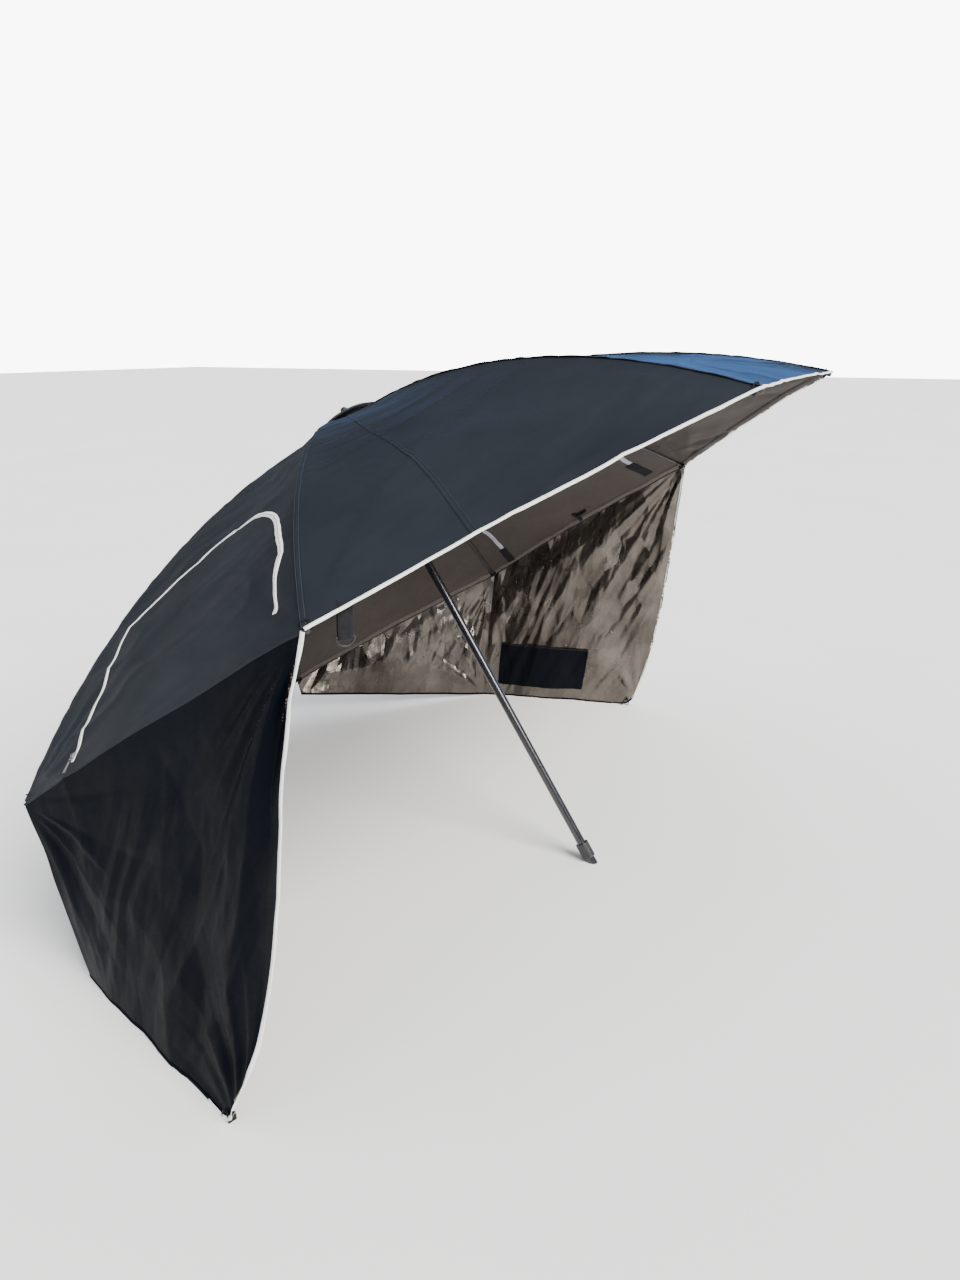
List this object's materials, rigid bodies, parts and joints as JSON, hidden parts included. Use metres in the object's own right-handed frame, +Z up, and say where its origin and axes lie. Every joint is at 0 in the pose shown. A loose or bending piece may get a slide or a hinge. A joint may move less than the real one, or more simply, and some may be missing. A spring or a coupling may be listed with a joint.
{
  "type": "tilted beach umbrella with side curtains",
  "caption": "Folding beach umbrella on a leaning pole set in the ground, with an octagonal canopy, side curtains, zipped windows and wind vents.",
  "frame": {"origin": "where the pole's axis meets the ground", "axes": "+Z up, +X level towards the open front, +Y to the far side; the pole leans back towards -X by 32.8 degrees"},
  "size_m": [1.8953, 2.4396, 1.8152],
  "materials": {
    "spike_metal": "satin",
    "canopy_fabric": "satin",
    "curtain_fabric": "satin",
    "curtain_lining": "satin",
    "canopy_lining": "matte",
    "white_piping": "matte",
    "black_fabric": "matte",
    "black_webbing": "matte",
    "vent_mesh": "matte",
    "zip_metal": "satin",
    "black_plastic": "satin",
    "black_rib": "gloss",
    "black_paint": "gloss"
  },
  "bodies": {
    "ground_pole": {"ground_spike": "spike_metal", "lower_tube": "black_paint"},
    "lock_collar": {"lock_collar": "black_plastic"},
    "mast": {"upper_pole": "black_paint", "crown_hub": "black_plastic", "crown_cap": "black_plastic"},
    "runner": {"runner": "black_plastic"},
    "runner_button": {"runner_button": "black_plastic"},
    "rib_1": {"rib_1": "black_rib", "rib_tip_1": "black_plastic", "canopy_1": "canopy_fabric", "vent_hood_1": "black_fabric"},
    "rib_2": {"rib_2": "black_rib", "rib_tip_2": "black_plastic", "canopy_2": "canopy_fabric", "vent_hood_2": "black_fabric"},
    "rib_3": {"rib_3": "black_rib", "rib_tip_3": "black_plastic", "canopy_3": "canopy_fabric"},
    "rib_4": {"rib_4": "black_rib", "rib_tip_4": "black_plastic", "canopy_4": "canopy_fabric"},
    "rib_5": {"rib_5": "black_rib", "rib_tip_5": "black_plastic", "canopy_5": "canopy_fabric", "vent_hood_5": "black_fabric"},
    "rib_6": {"rib_6": "black_rib", "rib_tip_6": "black_plastic", "canopy_6": "canopy_fabric", "vent_hood_6": "black_fabric"},
    "rib_7": {"rib_7": "black_rib", "rib_tip_7": "black_plastic", "canopy_7": "canopy_fabric", "ring_tab": "black_webbing"},
    "rib_8": {"rib_8": "black_rib", "rib_tip_8": "black_plastic", "canopy_8": "canopy_fabric"},
    "strut_1": {"strut_1": "black_paint"},
    "strut_2": {"strut_2": "black_paint"},
    "strut_3": {"strut_3": "black_paint"},
    "strut_4": {"strut_4": "black_paint"},
    "strut_5": {"strut_5": "black_paint"},
    "strut_6": {"strut_6": "black_paint"},
    "strut_7": {"strut_7": "black_paint"},
    "strut_8": {"strut_8": "black_paint"},
    "curtain_2": {"curtain_2": "curtain_fabric", "pocket": "black_fabric", "corner_loop_far": "black_webbing"},
    "curtain_3": {"curtain_3": "curtain_fabric"},
    "curtain_6": {"curtain_6": "curtain_fabric"},
    "curtain_7": {"curtain_7": "curtain_fabric", "corner_loop_near": "black_webbing"},
    "zip_near": {"zip_slider_near": "zip_metal"},
    "zip_far": {"zip_slider_far": "zip_metal"},
    "zip_pull_near": {"zip_pull_near": "zip_metal"},
    "zip_pull_far": {"zip_pull_far": "zip_metal"},
    "tie_ring": {"tie_ring": "black_plastic"}
  },
  "joints": [
    {"name": "pole_height", "type": "slide", "parent": "ground_pole", "child": "mast", "axis": [-0.5417, 0, 0.8406], "range_m": [0, 0.12]},
    {"name": "collar_twist", "type": "hinge", "parent": "ground_pole", "child": "lock_collar", "pos_m": [0, 0, 0], "axis": [-0.5417, 0, 0.8406], "range_deg": [0, 90]},
    {"name": "canopy_fold", "type": "hinge", "parent": "mast", "child": "rib_1", "pos_m": [-0.773, 0.00842, 1.23698], "axis": [-0.3217, 0.9239, -0.2073], "range_deg": [0, 57], "deforming": ["canopy_1", "vent_hood_1"]},
    {"name": "rib_2_fold", "type": "hinge", "parent": "mast", "child": "rib_2", "pos_m": [-0.783, 0.02032, 1.23053], "axis": [-0.7766, 0.3827, -0.5005], "range_deg": [0, 57], "deforming": ["canopy_2", "vent_hood_2"]},
    {"name": "rib_3_fold", "type": "hinge", "parent": "mast", "child": "rib_3", "pos_m": [-0.79716, 0.02032, 1.22141], "axis": [-0.7766, -0.3827, -0.5005], "range_deg": [0, 57], "deforming": ["canopy_3"]},
    {"name": "rib_4_fold", "type": "hinge", "parent": "mast", "child": "rib_4", "pos_m": [-0.80717, 0.00842, 1.21496], "axis": [-0.3217, -0.9239, -0.2073], "range_deg": [0, 57], "deforming": ["canopy_4"]},
    {"name": "rib_5_fold", "type": "hinge", "parent": "mast", "child": "rib_5", "pos_m": [-0.80717, -0.00842, 1.21496], "axis": [0.3217, -0.9239, 0.2073], "range_deg": [0, 57], "deforming": ["canopy_5", "vent_hood_5"]},
    {"name": "rib_6_fold", "type": "hinge", "parent": "mast", "child": "rib_6", "pos_m": [-0.79716, -0.02032, 1.22141], "axis": [0.7766, -0.3827, 0.5005], "range_deg": [0, 57], "deforming": ["canopy_6", "vent_hood_6"]},
    {"name": "rib_7_fold", "type": "hinge", "parent": "mast", "child": "rib_7", "pos_m": [-0.783, -0.02032, 1.23053], "axis": [0.7766, 0.3827, 0.5005], "range_deg": [0, 57], "deforming": ["canopy_7", "ring_tab"]},
    {"name": "rib_8_fold", "type": "hinge", "parent": "mast", "child": "rib_8", "pos_m": [-0.773, -0.00842, 1.23698], "axis": [0.3217, 0.9239, 0.2073], "range_deg": [0, 57], "deforming": ["canopy_8"]},
    {"name": "runner_slide", "type": "slide", "parent": "mast", "child": "runner", "axis": [0.5417, 0, -0.8406], "range_m": [0, 0.70893]},
    {"name": "runner_button_press", "type": "slide", "parent": "runner", "child": "runner_button", "axis": [-0.8406, 0, -0.5417], "range_m": [0, 0.003], "stiffness_N_per_m": 400},
    {"name": "strut_1_fold", "type": "hinge", "parent": "runner", "child": "strut_1", "pos_m": [-0.64631, 0.00842, 1.0404], "axis": [-0.3217, 0.9239, -0.2073], "range_deg": [-57, 0]},
    {"name": "strut_2_fold", "type": "hinge", "parent": "runner", "child": "strut_2", "pos_m": [-0.65632, 0.02032, 1.03395], "axis": [-0.7766, 0.3827, -0.5005], "range_deg": [-57, 0]},
    {"name": "strut_3_fold", "type": "hinge", "parent": "runner", "child": "strut_3", "pos_m": [-0.67048, 0.02032, 1.02483], "axis": [-0.7766, -0.3827, -0.5005], "range_deg": [-57, 0]},
    {"name": "strut_4_fold", "type": "hinge", "parent": "runner", "child": "strut_4", "pos_m": [-0.68048, 0.00842, 1.01838], "axis": [-0.3217, -0.9239, -0.2073], "range_deg": [-57, 0]},
    {"name": "strut_5_fold", "type": "hinge", "parent": "runner", "child": "strut_5", "pos_m": [-0.68048, -0.00842, 1.01838], "axis": [0.3217, -0.9239, 0.2073], "range_deg": [-57, 0]},
    {"name": "strut_6_fold", "type": "hinge", "parent": "runner", "child": "strut_6", "pos_m": [-0.67048, -0.02032, 1.02483], "axis": [0.7766, -0.3827, 0.5005], "range_deg": [-57, 0]},
    {"name": "strut_7_fold", "type": "hinge", "parent": "runner", "child": "strut_7", "pos_m": [-0.65632, -0.02032, 1.03395], "axis": [0.7766, 0.3827, 0.5005], "range_deg": [-57, 0]},
    {"name": "strut_8_fold", "type": "hinge", "parent": "runner", "child": "strut_8", "pos_m": [-0.64631, -0.00842, 1.0404], "axis": [0.3217, 0.9239, 0.2073], "range_deg": [-57, 0]},
    {"name": "curtain_2_tuck", "type": "hinge", "parent": "rib_2", "child": "curtain_2", "pos_m": [-0.09997, 1.12713, 1.01698], "axis": [-0.7766, 0.3827, -0.5005], "range_deg": [0, 119], "deforming": ["curtain_2", "pocket", "corner_loop_far"]},
    {"name": "curtain_3_tuck", "type": "hinge", "parent": "rib_3", "child": "curtain_3", "pos_m": [-0.88485, 1.12713, 0.51117], "axis": [-0.7766, -0.3827, -0.5005], "range_deg": [0, 129], "deforming": ["curtain_3"]},
    {"name": "curtain_6_tuck", "type": "hinge", "parent": "rib_6", "child": "curtain_6", "pos_m": [-0.88485, -1.12713, 0.51117], "axis": [0.7766, -0.3827, 0.5005], "range_deg": [0, 129], "deforming": ["curtain_6"]},
    {"name": "curtain_7_tuck", "type": "hinge", "parent": "rib_7", "child": "curtain_7", "pos_m": [-0.09997, -1.12713, 1.01698], "axis": [0.7766, 0.3827, 0.5005], "range_deg": [0, 119], "deforming": ["curtain_7", "corner_loop_near"]},
    {"name": "zip_near_slide", "type": "hinge", "parent": "rib_6", "child": "zip_near", "pos_m": [0.34148, 0.24442, -0.41026], "axis": [-0.8125, 0.2562, -0.5236], "range_deg": [0, 9]},
    {"name": "zip_near_pull", "type": "hinge", "parent": "zip_near", "child": "zip_pull_near", "pos_m": [-0.75544, -1.09737, 0.63654], "axis": [0.8406, 0, 0.5417], "range_deg": [-150, 0]},
    {"name": "zip_far_slide", "type": "hinge", "parent": "rib_3", "child": "zip_far", "pos_m": [0.3627, -0.2323, -0.4278], "axis": [0.8018, 0.3003, 0.5167], "range_deg": [0, 9]},
    {"name": "zip_far_pull", "type": "hinge", "parent": "zip_far", "child": "zip_pull_far", "pos_m": [-0.80119, 1.09735, 0.60708], "axis": [-0.8406, 0, -0.5417], "range_deg": [-150, 0]},
    {"name": "tie_ring_swing", "type": "hinge", "parent": "rib_7", "child": "tie_ring", "pos_m": [-0.06358, -1.06931, 0.9956], "axis": [0.6434, 0.7655, 0], "range_deg": [-80, 80]}
  ],
  "couplings": [
    {"joint": "rib_2_fold", "follows": "canopy_fold", "ratio": 1},
    {"joint": "rib_3_fold", "follows": "canopy_fold", "ratio": 1},
    {"joint": "rib_4_fold", "follows": "canopy_fold", "ratio": 1},
    {"joint": "rib_5_fold", "follows": "canopy_fold", "ratio": 1},
    {"joint": "rib_6_fold", "follows": "canopy_fold", "ratio": 1},
    {"joint": "rib_7_fold", "follows": "canopy_fold", "ratio": 1},
    {"joint": "rib_8_fold", "follows": "canopy_fold", "ratio": 1},
    {"joint": "runner_slide", "follows": "canopy_fold", "m_per_rad": 0.7126},
    {"joint": "strut_1_fold", "follows": "canopy_fold", "ratio": -1},
    {"joint": "strut_2_fold", "follows": "canopy_fold", "ratio": -1},
    {"joint": "strut_3_fold", "follows": "canopy_fold", "ratio": -1},
    {"joint": "strut_4_fold", "follows": "canopy_fold", "ratio": -1},
    {"joint": "strut_5_fold", "follows": "canopy_fold", "ratio": -1},
    {"joint": "strut_6_fold", "follows": "canopy_fold", "ratio": -1},
    {"joint": "strut_7_fold", "follows": "canopy_fold", "ratio": -1},
    {"joint": "strut_8_fold", "follows": "canopy_fold", "ratio": -1},
    {"joint": "curtain_2_tuck", "follows": "canopy_fold", "ratio": 2.0877},
    {"joint": "curtain_3_tuck", "follows": "canopy_fold", "ratio": 2.2632},
    {"joint": "curtain_6_tuck", "follows": "canopy_fold", "ratio": 2.2632},
    {"joint": "curtain_7_tuck", "follows": "canopy_fold", "ratio": 2.0877}
  ]
}
